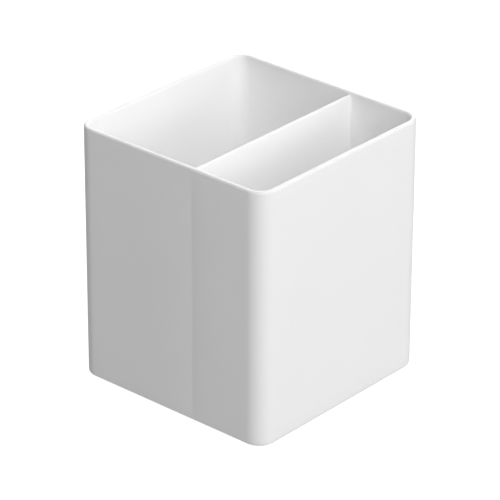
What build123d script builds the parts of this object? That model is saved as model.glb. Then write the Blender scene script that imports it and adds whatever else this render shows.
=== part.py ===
from build123d import *
from math import radians, tan
import os

# Desk pen cup: a square moulded cup with one fixed divider and four stick-on feet.
# Frame: Z = 0 is the desk under the feet, +Z is up through the open mouth, and the
# origin is midway across the plan. +X is the side with the narrow compartment.

# ---- driving dimensions, mm ----------------------------------------------------

# shell, outside
side = 88.9                     # plan width, along X and along Y
shell_height = 101.2            # underside of the moulding to the top of the rim
corner_radius = 7.0             # upright corners
base_round = 1.3                # walls into the underside
rim_round_outside = 1.0

# shell, inside
rim_wall = 2.1                  # wall thickness at the rim
rim_round_inside = 1.0
inside_draft = 0.4              # degrees; the walls thicken towards the floor
floor_thickness = 2.6
floor_round = 2.0               # walls into the floor, inside

# divider, a rib moulded with the shell
divider_x = 11.2                # middle of the divider, from the middle of the cup
divider_below_rim = 1.0
divider_top_thickness = 1.3
divider_draft = 0.4             # degrees on each side
divider_top_round = 0.5

# feet, rubber discs stuck into round seats in the underside
foot_diameter = 10.0
foot_thickness = 1.0
foot_edge_round = 0.3
foot_seat_diameter = 10.4
foot_seat_depth = 0.6
foot_inset = 12.0               # foot centre to the outside faces

# gate, where the moulding was filled: a nub in a shallow dish under the floor
gate_dish_diameter = 8.0
gate_dish_depth = 0.4
gate_nub_diameter = 2.0
gate_nub_height = 0.3

# ---- derived places --------------------------------------------------------------

underside_z = foot_thickness - foot_seat_depth
rim_z = underside_z + shell_height
floor_z = underside_z + floor_thickness
seat_z = underside_z + foot_seat_depth
foot_offset = side / 2 - foot_inset

foot_places = {
    "foot_front_left": (-foot_offset, -foot_offset),
    "foot_front_right": (foot_offset, -foot_offset),
    "foot_back_left": (-foot_offset, foot_offset),
    "foot_back_right": (foot_offset, foot_offset),
}


def upright_cylinder(diameter, bottom_z, top_z, x=0.0, y=0.0):
    """A cylinder along Z between two heights."""
    disc = Pos(x, y, bottom_z) * Circle(diameter / 2)
    return extrude(disc, top_z - bottom_z)


def make_cavity():
    """The space inside the four walls, narrowing downwards by the draft."""
    mouth_side = side - 2 * rim_wall
    mouth = RectangleRounded(mouth_side, mouth_side, corner_radius - rim_wall)
    facing_down = Plane(origin=(0, 0, rim_z), z_dir=(0, 0, -1))
    cavity = extrude(facing_down * mouth, rim_z - floor_z, taper=inside_draft)
    return fillet(cavity.edges().group_by(Axis.Z)[0], floor_round)


def make_shell(cavity):
    """The moulded cup: four walls and the floor, with seats for the feet."""
    plan = Pos(0, 0, underside_z) * RectangleRounded(side, side, corner_radius)
    block = extrude(plan, shell_height)
    block = fillet(block.edges().group_by(Axis.Z)[0], base_round)
    block = fillet(block.edges().group_by(Axis.Z)[-1], rim_round_outside)
    shell = block - cavity
    rim_face = shell.faces().sort_by(Axis.Z)[-1]
    shell = fillet(rim_face.inner_wires()[0].edges(), rim_round_inside)
    for x, y in foot_places.values():
        shell -= upright_cylinder(foot_seat_diameter, underside_z, seat_z, x, y)
    dish_top_z = underside_z + gate_dish_depth
    shell -= upright_cylinder(gate_dish_diameter, underside_z, dish_top_z)
    shell += upright_cylinder(gate_nub_diameter, dish_top_z - gate_nub_height, dish_top_z)
    return shell


def make_divider(cavity):
    """The upright rib between the compartments, cut to the shape of the cavity."""
    top_z = rim_z - divider_below_rim
    half_top = divider_top_thickness / 2
    half_bottom = half_top + (top_z - floor_z) * tan(radians(divider_draft))
    section = Plane.XZ * Polygon(
        (divider_x - half_bottom, floor_z),
        (divider_x + half_bottom, floor_z),
        (divider_x + half_top, top_z),
        (divider_x - half_top, top_z),
        align=None,
    )
    section = fillet(section.vertices().group_by(Axis.Z)[-1], divider_top_round)
    slab = extrude(section, side / 2, both=True)
    return slab & cavity


def make_foot(x, y):
    """A rubber disc with a softened lower edge."""
    disc = upright_cylinder(foot_diameter, 0.0, foot_thickness, x, y)
    return fillet(disc.edges().sort_by(Axis.Z)[0], foot_edge_round)


cavity = make_cavity()
pieces = {"cup_shell": make_shell(cavity), "divider": make_divider(cavity)}
for foot_name, (x, y) in foot_places.items():
    pieces[foot_name] = make_foot(x, y)

os.makedirs("parts", exist_ok=True)
for node_name, piece in pieces.items():
    export_step(piece, f"parts/{node_name}.step")
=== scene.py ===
import math

import bmesh
import bpy
from mathutils import Matrix, Vector
from mathutils.geometry import delaunay_2d_cdt


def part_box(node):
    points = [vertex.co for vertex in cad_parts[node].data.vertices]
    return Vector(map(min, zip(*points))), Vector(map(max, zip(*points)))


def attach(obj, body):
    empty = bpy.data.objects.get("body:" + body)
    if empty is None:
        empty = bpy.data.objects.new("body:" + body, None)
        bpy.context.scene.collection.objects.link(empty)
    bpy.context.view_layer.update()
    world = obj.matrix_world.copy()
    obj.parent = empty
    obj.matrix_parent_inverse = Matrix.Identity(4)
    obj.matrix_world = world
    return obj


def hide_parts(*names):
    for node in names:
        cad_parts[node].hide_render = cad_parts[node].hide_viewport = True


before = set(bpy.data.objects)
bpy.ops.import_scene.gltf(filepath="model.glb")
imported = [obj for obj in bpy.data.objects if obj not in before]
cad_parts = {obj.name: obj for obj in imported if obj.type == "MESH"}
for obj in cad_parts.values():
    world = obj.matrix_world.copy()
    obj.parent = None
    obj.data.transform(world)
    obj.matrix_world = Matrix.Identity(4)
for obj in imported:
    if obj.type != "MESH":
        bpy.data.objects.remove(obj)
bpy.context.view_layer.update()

# A square moulded pen cup in satin white plastic, with one fixed divider and rubber feet.
# Everything is in metres, in the frame of the CAD model: Z = 0 is the desk, +Z is up.

mm = 0.001

# ---- places and sizes, from the CAD nodes ------------------------------------------------

shell_low, shell_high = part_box("cup_shell")
divider_low, divider_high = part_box("divider")
half_side = (shell_high.x - shell_low.x) / 2
underside_z = shell_low.z
rim_z = shell_high.z
floor_z = divider_low.z
divider_x = (divider_low.x + divider_high.x) / 2
divider_top_z = divider_high.z
divider_half_bottom = (divider_high.x - divider_low.x) / 2

# ---- sizes of the moulding that the boxes don't give, as in the CAD model ----------------

corner_radius = 7.0 * mm
base_round = 1.3 * mm
rim_round_outside = 1.0 * mm
rim_round_inside = 1.0 * mm
rim_wall = 2.1 * mm
floor_round = 2.0 * mm
inside_slope = math.tan(math.radians(0.4))
divider_slope = math.tan(math.radians(0.4))
divider_top_round = 0.5 * mm
foot_seat_radius = 5.2 * mm
foot_seat_depth = 0.6 * mm
foot_edge_round = 0.3 * mm
gate_dish_radius = 4.0 * mm
gate_dish_depth = 0.4 * mm
gate_nub_radius = 1.0 * mm
gate_nub_height = 0.3 * mm

# ---- marks that moulding leaves ----------------------------------------------------------

sink_depth = 0.4 * mm           # creases outside, where the divider meets the walls
sink_wide_side = 8.0 * mm       # they fade slowly towards the wide compartment
sink_narrow_side = 3.5 * mm     # and quickly towards the narrow one
sink_end = 1.5 * mm             # they run out this far from the rounded edges
rib_fillet = 0.5 * mm           # divider into the walls and the floor
rib_bury = 0.2 * mm             # the divider goes this far into the walls and the floor

# ---- how finely the meshes are cut -------------------------------------------------------

corner_steps = 24
round_steps = 8
flat_step = 2.5 * mm
crease_step = 0.6 * mm
crease_reach = 6.0 * mm         # how far the finer steps go on each side of a crease
long_steps = 24                 # along a long straight stretch
disc_steps = 48
floor_shares = (0.8, 0.6, 0.4, 0.2)     # rings between the floor's edge and its middle
foot_ring_share = 0.5                   # a ring half way out on each flat side of a foot
same_point = 1e-7
sharp_angle = math.radians(35)


def spread(start, stop, count):
    """count + 1 numbers from start to stop, evenly spaced."""
    return [start + (stop - start) * i / count for i in range(count + 1)]


def smooth_step(edge_0, edge_1, value):
    """0 before edge_0, 1 after edge_1, and a smooth rise between them."""
    t = min(1.0, max(0.0, (value - edge_0) / (edge_1 - edge_0)))
    return t * t * (3 - 2 * t)


# ---- plan and section of the shell -------------------------------------------------------


def side_stations(reach):
    """Places along one side of the plan, closer together beside a crease.

    The other sides are turned copies of this one, so it has the crease's place both ways round.
    """
    creases = (-divider_x, divider_x)
    breaks = [-reach]
    for crease in creases:
        breaks += [crease - crease_reach, crease, crease + crease_reach]
    breaks.append(reach)
    stations = []
    for start, stop in zip(breaks, breaks[1:]):
        middle = (start + stop) / 2
        beside_crease = min(abs(middle - crease) for crease in creases) < crease_reach
        step = crease_step if beside_crease else flat_step
        stations += spread(start, stop, math.ceil((stop - start) / step))[:-1]
    return stations + [reach]


def plan_ring(inset):
    """Points round the rounded square, counter-clockwise, at a distance inside the outer faces."""
    reach = half_side - corner_radius
    radius = corner_radius - inset
    stations = side_stations(reach)
    side_points = [Vector((x, -reach - radius)) for x in stations[:-1]]
    centre = Vector((reach, -reach))
    for angle in spread(-math.pi / 2, 0, corner_steps)[:-1]:
        side_points.append(centre + radius * Vector((math.cos(angle), math.sin(angle))))
    ring = []
    for turn in range(4):
        quarter = Matrix.Rotation(turn * math.pi / 2, 2)
        ring += [quarter @ point for point in side_points]
    return ring


def arc(centre_inset, centre_z, radius, start_deg, stop_deg):
    """Section points round a centre: 0 degrees faces out of the cup, 90 degrees faces up."""
    angles = spread(math.radians(start_deg), math.radians(stop_deg), round_steps)
    return [(centre_inset - radius * math.cos(a), centre_z + radius * math.sin(a)) for a in angles]


def shell_section():
    """(inset, height) points: up the outside, over the rim and down the inside to the floor."""
    base = arc(base_round, underside_z + base_round, base_round, -90, 0)
    rim_out = arc(rim_round_outside, rim_z - rim_round_outside, rim_round_outside, 0, 90)
    rim_in = arc(rim_wall - rim_round_inside, rim_z - rim_round_inside, rim_round_inside, 90, 180)
    wall_foot_z = floor_z + floor_round
    foot_inset = rim_wall + (rim_z - wall_foot_z) * inside_slope
    cove = arc(foot_inset + floor_round, wall_foot_z, floor_round, 0, -90)
    outside = [(0.0, z) for z in spread(base[-1][1], rim_out[0][1], long_steps)[1:-1]]
    drop = rim_in[-1][1] - wall_foot_z
    inside = [
        (rim_wall + (foot_inset - rim_wall) * (rim_in[-1][1] - z) / drop, z)
        for z in spread(rim_in[-1][1], wall_foot_z, long_steps)[1:-1]
    ]
    return base + outside + rim_out + rim_in + inside + cove


def sink(point, z):
    """How far an outer wall is drawn in beside the divider's end."""
    on_front_or_back = abs(point.y) > half_side - mm
    if not on_front_or_back:
        return 0.0
    across = point.x - divider_x
    width = sink_narrow_side if across > 0 else sink_wide_side
    base_end = underside_z + base_round
    rim_end = rim_z - rim_round_outside
    rise = smooth_step(base_end, base_end + sink_end, z)
    fall = 1 - smooth_step(rim_end - sink_end, rim_end, z)
    return sink_depth * math.exp(-abs(across) / width) * rise * fall


# ---- mesh helpers ------------------------------------------------------------------------


def join_rings(mesh, lower, upper):
    """Quads between two closed rings of the same length."""
    for i in range(len(lower)):
        j = (i + 1) % len(lower)
        mesh.faces.new((lower[i], lower[j], upper[j], upper[i]))


def close_ring(mesh, ring, centre):
    """A fan of triangles from a ring to a middle point."""
    middle = mesh.verts.new(centre)
    for i in range(len(ring)):
        mesh.faces.new((ring[i], ring[(i + 1) % len(ring)], middle))


def circle(mesh, radius, z, centre):
    """A ring of new vertices round a centre."""
    angles = [2 * math.pi * i / disc_steps for i in range(disc_steps)]
    return [
        mesh.verts.new((centre.x + radius * math.cos(a), centre.y + radius * math.sin(a), z))
        for a in angles
    ]


def flat_face_with_holes(mesh, outline, holes, z):
    """Triangles that fill the outline at one height and leave the round holes open."""
    loops = [outline] + [ring for ring, _, _ in holes]
    corners = [v for loop in loops for v in loop]
    edges = []
    start = 0
    for loop in loops:
        edges += [(start + i, start + (i + 1) % len(loop)) for i in range(len(loop))]
        start += len(loop)
    flat = [Vector((v.co.x, v.co.y)) for v in corners]
    inside_only = 1
    found = delaunay_2d_cdt(flat, edges, [], inside_only, same_point)
    triangles, sources = found[2], found[3]
    for triangle in triangles:
        verts = [corners[sources[i][0]] for i in triangle]
        middle = sum((v.co.xy for v in verts), Vector((0.0, 0.0))) / 3
        if all((middle - centre).length > radius for _, centre, radius in holes):
            mesh.faces.new(verts)


def finish_mesh(mesh, name, material, node):
    """Makes the mesh an object that rides on the cup and stands for its CAD node."""
    bmesh.ops.recalc_face_normals(mesh, faces=mesh.faces)
    for face in mesh.faces:
        face.smooth = True
    for edge in mesh.edges:
        edge.smooth = edge.calc_face_angle(0.0) < sharp_angle
    data = bpy.data.meshes.new(name)
    mesh.to_mesh(data)
    mesh.free()
    data.materials.append(material)
    piece = bpy.data.objects.new(name, data)
    bpy.context.scene.collection.objects.link(piece)
    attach(piece, "root")
    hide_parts(node)


# ---- pieces ------------------------------------------------------------------------------

foot_nodes = ["foot_front_left", "foot_front_right", "foot_back_left", "foot_back_right"]


def foot_centre(node):
    """Middle of a foot in plan."""
    low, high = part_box(node)
    return (low.xy + high.xy) / 2


def make_shell(material):
    """Walls, rim and floor as one lofted skin, with the seats and the gate mark underneath."""
    mesh = bmesh.new()
    rings = []
    for inset, z in shell_section():
        ring = []
        for point in plan_ring(inset):
            drawn_in = sink(point, z) if inset == 0.0 else 0.0
            y = point.y - math.copysign(drawn_in, point.y)
            ring.append(mesh.verts.new((point.x, y, z)))
        rings.append(ring)
    cove_foot = [v.co.copy() for v in rings[-1]]
    for share in floor_shares:
        rings.append([mesh.verts.new((co.x * share, co.y * share, floor_z)) for co in cove_foot])
    for lower, upper in zip(rings, rings[1:]):
        join_rings(mesh, lower, upper)
    close_ring(mesh, rings[-1], (0, 0, floor_z))

    holes = []
    for node in foot_nodes:
        centre = foot_centre(node)
        mouth = circle(mesh, foot_seat_radius, underside_z, centre)
        roof = circle(mesh, foot_seat_radius, underside_z + foot_seat_depth, centre)
        join_rings(mesh, mouth, roof)
        close_ring(mesh, roof, (centre.x, centre.y, underside_z + foot_seat_depth))
        holes.append((mouth, centre, foot_seat_radius))
    middle = Vector((0.0, 0.0))
    dish_z = underside_z + gate_dish_depth
    nub_z = dish_z - gate_nub_height
    dish = [
        circle(mesh, gate_dish_radius, underside_z, middle),
        circle(mesh, gate_dish_radius, dish_z, middle),
        circle(mesh, gate_nub_radius, dish_z, middle),
        circle(mesh, gate_nub_radius, nub_z, middle),
    ]
    for lower, upper in zip(dish, dish[1:]):
        join_rings(mesh, lower, upper)
    close_ring(mesh, dish[-1], (0, 0, nub_z))
    holes.append((dish[0], middle, gate_dish_radius))
    flat_face_with_holes(mesh, rings[0], holes, underside_z)
    finish_mesh(mesh, "cup_shell_skin", material, "cup_shell")


def cove(distance):
    """How far a fillet stands out at a distance from the face that it meets."""
    if distance >= rib_fillet:
        return 0.0
    short = rib_fillet - max(0.0, distance)
    return rib_fillet - math.sqrt(rib_fillet ** 2 - short ** 2)


def wall_reach(z):
    """Distance from the middle of the cup to its inner walls at a height."""
    return half_side - rim_wall - (rim_z - z) * inside_slope


def divider_section(wall_gap):
    """(sideways, height) points of the rib's section, at a distance from the wall it meets."""
    flare = cove(wall_gap)
    top_z = divider_top_z + flare
    half_top = divider_half_bottom - (divider_top_z - floor_z) * divider_slope + flare
    heights = [floor_z - rib_bury] + spread(floor_z, floor_z + rib_fillet, round_steps)
    heights += spread(heights[-1], top_z - divider_top_round, long_steps)[1:]
    right = []
    for z in heights:
        right.append((half_top + (top_z - z) * divider_slope + cove(z - floor_z), z))
    centre_x = right[-1][0] - divider_top_round
    centre_z = heights[-1]
    for angle in spread(0, math.pi / 2, round_steps)[1:]:
        x = centre_x + divider_top_round * math.cos(angle)
        right.append((x, centre_z + divider_top_round * math.sin(angle)))
    left = [(-x, z) for x, z in reversed(right)]
    return right + left


def make_divider(material):
    """The rib as a swept section that flares into the walls and the floor."""
    mesh = bmesh.new()
    reach = wall_reach(divider_top_z)
    near_wall = spread(0.0, rib_fillet, round_steps)
    gaps = [-rib_bury] + near_wall
    span = spread(-reach + rib_fillet, reach - rib_fillet, long_steps)[1:-1]
    shares = [(-reach + gap) / reach for gap in gaps]
    shares += [y / reach for y in span]
    shares += [(reach - gap) / reach for gap in reversed(gaps)]
    rings = []
    for share in shares:
        gap = (1 - abs(share)) * reach
        ring = []
        for x, z in divider_section(gap):
            ring.append(mesh.verts.new((divider_x + x, share * wall_reach(z), z)))
        rings.append(ring)
    for lower, upper in zip(rings, rings[1:]):
        join_rings(mesh, lower, upper)
    mesh.faces.new(rings[0])
    mesh.faces.new(rings[-1])
    finish_mesh(mesh, "divider_skin", material, "divider")


def make_foot(node, material):
    """A rubber disc in its seat, with a softened lower edge."""
    low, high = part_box(node)
    centre = foot_centre(node)
    radius = (high.x - low.x) / 2
    mesh = bmesh.new()
    inner_radius = radius * foot_ring_share
    rings = [circle(mesh, inner_radius, high.z, centre), circle(mesh, radius, high.z, centre)]
    for angle in spread(0, math.pi / 2, round_steps):
        edge_radius = radius - foot_edge_round * (1 - math.cos(angle))
        edge_z = low.z + foot_edge_round * (1 - math.sin(angle))
        rings.append(circle(mesh, edge_radius, edge_z, centre))
    rings.append(circle(mesh, inner_radius, low.z, centre))
    for lower, upper in zip(rings, rings[1:]):
        join_rings(mesh, lower, upper)
    close_ring(mesh, rings[0], (centre.x, centre.y, high.z))
    close_ring(mesh, rings[-1], (centre.x, centre.y, low.z))
    finish_mesh(mesh, node + "_disc", material, node)


# ---- materials ---------------------------------------------------------------------------

# noises are given as cells per metre and octaves of detail
plastic_shade = 0.96
plastic_mottling = 0.006        # how far the shade strays each way
plastic_mottle = (45, 3)
plastic_patches = (90, 4)
plastic_waves = (70, 1)
plastic_grains = (4500, 2)
plastic_roughness = (0.36, 0.42)
plastic_relief = 0.01 * mm
plastic_wave_strength = 0.4
plastic_grain_strength = 0.35
plastic_ior = 1.53

rubber_dark = (0.36, 0.36, 0.365)
rubber_light = (0.42, 0.42, 0.425)
rubber_mottle = (600, 3)
rubber_pebbles = (3000, 3)
rubber_roughness = (0.75, 0.9)
rubber_relief = 0.03 * mm
rubber_pebble_strength = 0.5

ramp_ends = (0.35, 0.65)        # the part of a noise that a colour ramp is spread over
range_ends = (0.3, 0.7)         # the same for a range of values


def new_material(name):
    """A node material, with its nodes and its links."""
    material = bpy.data.materials.new(name)
    material.use_nodes = True
    return material, material.node_tree.nodes, material.node_tree.links


def noise(nodes, links, coordinates, scale, detail):
    """A noise texture in the object's own metres: cells per metre, and octaves of detail."""
    texture = nodes.new("ShaderNodeTexNoise")
    texture.inputs["Scale"].default_value = scale
    texture.inputs["Detail"].default_value = detail
    links.new(coordinates.outputs["Object"], texture.inputs["Vector"])
    return texture


def colour_between(nodes, links, texture, low, high):
    """A ramp from one colour to another over the middle of a noise."""
    ramp = nodes.new("ShaderNodeValToRGB")
    for element, position, colour in zip(ramp.color_ramp.elements, ramp_ends, (low, high)):
        element.position = position
        element.color = (*colour, 1)
    links.new(texture.outputs["Fac"], ramp.inputs["Fac"])
    return ramp


def range_between(nodes, links, texture, low, high):
    """Maps a noise to a range of values."""
    mapped = nodes.new("ShaderNodeMapRange")
    mapped.inputs["From Min"].default_value = range_ends[0]
    mapped.inputs["From Max"].default_value = range_ends[1]
    mapped.inputs["To Min"].default_value = low
    mapped.inputs["To Max"].default_value = high
    links.new(texture.outputs["Fac"], mapped.inputs["Value"])
    return mapped


def bump(nodes, links, texture, depth, strength, below=None):
    """A bump of a real depth, on top of another bump if there is one."""
    node = nodes.new("ShaderNodeBump")
    node.inputs["Distance"].default_value = depth
    node.inputs["Strength"].default_value = strength
    links.new(texture.outputs["Fac"], node.inputs["Height"])
    if below:
        links.new(below.outputs["Normal"], node.inputs["Normal"])
    return node


def greys_around(shade, spread_each_way):
    """A darker and a lighter grey, evenly on both sides of a shade."""
    return [shade - spread_each_way] * 3, [shade + spread_each_way] * 3


def make_plastic():
    """Satin white plastic: faint mottling, a fine spark-eroded grain and a slow wave."""
    material, nodes, links = new_material("satin_white_plastic")
    shader = nodes["Principled BSDF"]
    coordinates = nodes.new("ShaderNodeTexCoord")
    mottle = noise(nodes, links, coordinates, *plastic_mottle)
    dark, light = greys_around(plastic_shade, plastic_mottling)
    colour = colour_between(nodes, links, mottle, dark, light)
    links.new(colour.outputs["Color"], shader.inputs["Base Color"])
    patches = noise(nodes, links, coordinates, *plastic_patches)
    roughness = range_between(nodes, links, patches, *plastic_roughness)
    links.new(roughness.outputs["Result"], shader.inputs["Roughness"])
    waves = noise(nodes, links, coordinates, *plastic_waves)
    wave = bump(nodes, links, waves, plastic_relief, plastic_wave_strength)
    grains = noise(nodes, links, coordinates, *plastic_grains)
    grain = bump(nodes, links, grains, plastic_relief, plastic_grain_strength, wave)
    links.new(grain.outputs["Normal"], shader.inputs["Normal"])
    shader.inputs["IOR"].default_value = plastic_ior
    return material


def make_rubber():
    """Matte grey rubber with a fine pebbled surface."""
    material, nodes, links = new_material("grey_foot_rubber")
    shader = nodes["Principled BSDF"]
    coordinates = nodes.new("ShaderNodeTexCoord")
    mottle = noise(nodes, links, coordinates, *rubber_mottle)
    colour = colour_between(nodes, links, mottle, rubber_dark, rubber_light)
    links.new(colour.outputs["Color"], shader.inputs["Base Color"])
    roughness = range_between(nodes, links, mottle, *rubber_roughness)
    links.new(roughness.outputs["Result"], shader.inputs["Roughness"])
    pebbles = noise(nodes, links, coordinates, *rubber_pebbles)
    pebble = bump(nodes, links, pebbles, rubber_relief, rubber_pebble_strength)
    links.new(pebble.outputs["Normal"], shader.inputs["Normal"])
    return material


# ---- studio ------------------------------------------------------------------------------

# a white table and backdrop that glows, so that it hardly takes a shadow
table_radius = 3.0
backdrop_round = 1.0
backdrop_height = 3.0
backdrop_glow = 0.8
backdrop_shade = 0.5
backdrop_mottling = 0.01
backdrop_mottle = (8, 2)

# light from all round: bounced up by the table, and from the air above it
bounce_strength = 0.441
sky_strength = 0.0
horizon_blend = 0.02

# softboxes: name, azimuth and elevation in degrees, height in metres, power in watts
softbox_distance = 2.0
softbox_width = 2.4
softboxes = [
    ("key_softbox", 60, 35, 1.9, 28.0),
    ("upper_softbox", 80, 60, 1.9, 12.8),
    ("low_softbox", 130, 12, 0.8, 12.7),
    ("back_softbox", 225, 35, 1.9, 34.4),
]
wall_bounces = 12               # light goes to and fro this often between the inner walls


def make_backdrop():
    """A plain white table top that curves up all round. It casts no light on the cup."""
    material, nodes, links = new_material("white_backdrop")
    shader = nodes["Principled BSDF"]
    coordinates = nodes.new("ShaderNodeTexCoord")
    mottle = noise(nodes, links, coordinates, *backdrop_mottle)
    dark, light = greys_around(backdrop_shade, backdrop_mottling)
    colour = colour_between(nodes, links, mottle, dark, light)
    links.new(colour.outputs["Color"], shader.inputs["Base Color"])
    shader.inputs["Roughness"].default_value = 1.0
    shader.inputs["Specular IOR Level"].default_value = 0.0
    shader.inputs["Emission Color"].default_value = (1, 1, 1, 1)
    shader.inputs["Emission Strength"].default_value = backdrop_glow

    section = [(table_radius, 0.0)]
    for angle in spread(-math.pi / 2, 0, round_steps)[1:]:
        out = table_radius + backdrop_round * math.cos(angle)
        section.append((out, backdrop_round * (1 + math.sin(angle))))
    section.append((table_radius + backdrop_round, backdrop_height))
    mesh = bmesh.new()
    middle = Vector((0.0, 0.0))
    rings = [circle(mesh, radius, z, middle) for radius, z in section]
    close_ring(mesh, rings[0], (0, 0, 0))
    for lower, upper in zip(rings, rings[1:]):
        join_rings(mesh, lower, upper)
    for face in mesh.faces:
        face.smooth = True
    data = bpy.data.meshes.new("backdrop")
    mesh.to_mesh(data)
    mesh.free()
    data.materials.append(material)
    backdrop = bpy.data.objects.new("backdrop", data)
    bpy.context.scene.collection.objects.link(backdrop)
    backdrop.visible_diffuse = False
    backdrop.visible_glossy = False
    backdrop.visible_shadow = False


def direction(azimuth, elevation):
    """Unit vector from the cup towards a place: azimuth 0 is -Y and 90 is +X."""
    a = math.radians(azimuth)
    e = math.radians(elevation)
    return Vector((math.sin(a) * math.cos(e), -math.cos(a) * math.cos(e), math.sin(e)))


def make_softbox(name, azimuth, elevation, height, power):
    """A rectangular area light that faces the middle of the cup."""
    light = bpy.data.lights.new(name, "AREA")
    light.shape = "RECTANGLE"
    light.size = softbox_width
    light.size_y = height
    light.energy = power
    lamp = bpy.data.objects.new(name, light)
    towards = direction(azimuth, elevation)
    middle = Vector((0, 0, (underside_z + rim_z) / 2))
    lamp.location = middle + towards * softbox_distance
    lamp.rotation_mode = "QUATERNION"
    lamp.rotation_quaternion = towards.to_track_quat("Z", "Y")
    bpy.context.scene.collection.objects.link(lamp)


def make_world():
    """The light from all round, split at the horizon into table bounce and sky."""
    world = bpy.data.worlds.new("studio_air")
    world.use_nodes = True
    nodes, links = world.node_tree.nodes, world.node_tree.links
    background = nodes["Background"]
    background.inputs["Color"].default_value = (1, 1, 1, 1)
    coordinates = nodes.new("ShaderNodeTexCoord")
    parts = nodes.new("ShaderNodeSeparateXYZ")
    links.new(coordinates.outputs["Generated"], parts.inputs["Vector"])
    split = nodes.new("ShaderNodeMapRange")
    split.inputs["From Min"].default_value = -horizon_blend
    split.inputs["From Max"].default_value = horizon_blend
    split.inputs["To Min"].default_value = bounce_strength
    split.inputs["To Max"].default_value = sky_strength
    links.new(parts.outputs["Z"], split.inputs["Value"])
    links.new(split.outputs["Result"], background.inputs["Strength"])
    bpy.context.scene.world = world


# camera: a long lens from the front right, looking down at the rim
view_azimuth = 41.18            # degrees, like the two below
view_elevation = 26.94
view_roll = 0.213
view_distance = 1.2148
view_lens_mm = 238.3
sensor_width_mm = 36.0
aim_below_middle = 1.96 * mm


def make_camera():
    """The camera, aimed a little below the middle of the cup."""
    camera_data = bpy.data.cameras.new("camera")
    camera_data.sensor_width = sensor_width_mm
    camera_data.lens = view_lens_mm
    camera = bpy.data.objects.new("camera", camera_data)
    back = direction(view_azimuth, view_elevation)
    aim = Vector((0, 0, (underside_z + rim_z) / 2 - aim_below_middle))
    level = back.to_track_quat("Z", "Y").to_matrix()
    roll = Matrix.Rotation(math.radians(view_roll), 3, "Z")
    camera.matrix_world = Matrix.Translation(aim + back * view_distance) @ (level @ roll).to_4x4()
    bpy.context.scene.collection.objects.link(camera)
    bpy.context.scene.camera = camera


# ---- the scene ---------------------------------------------------------------------------

plastic = make_plastic()
rubber = make_rubber()
make_shell(plastic)
make_divider(plastic)
for foot_node in foot_nodes:
    make_foot(foot_node, rubber)

make_backdrop()
make_world()
for softbox in softboxes:
    make_softbox(*softbox)
make_camera()
bpy.context.scene.view_settings.view_transform = "Standard"
bpy.context.scene.cycles.diffuse_bounces = wall_bounces
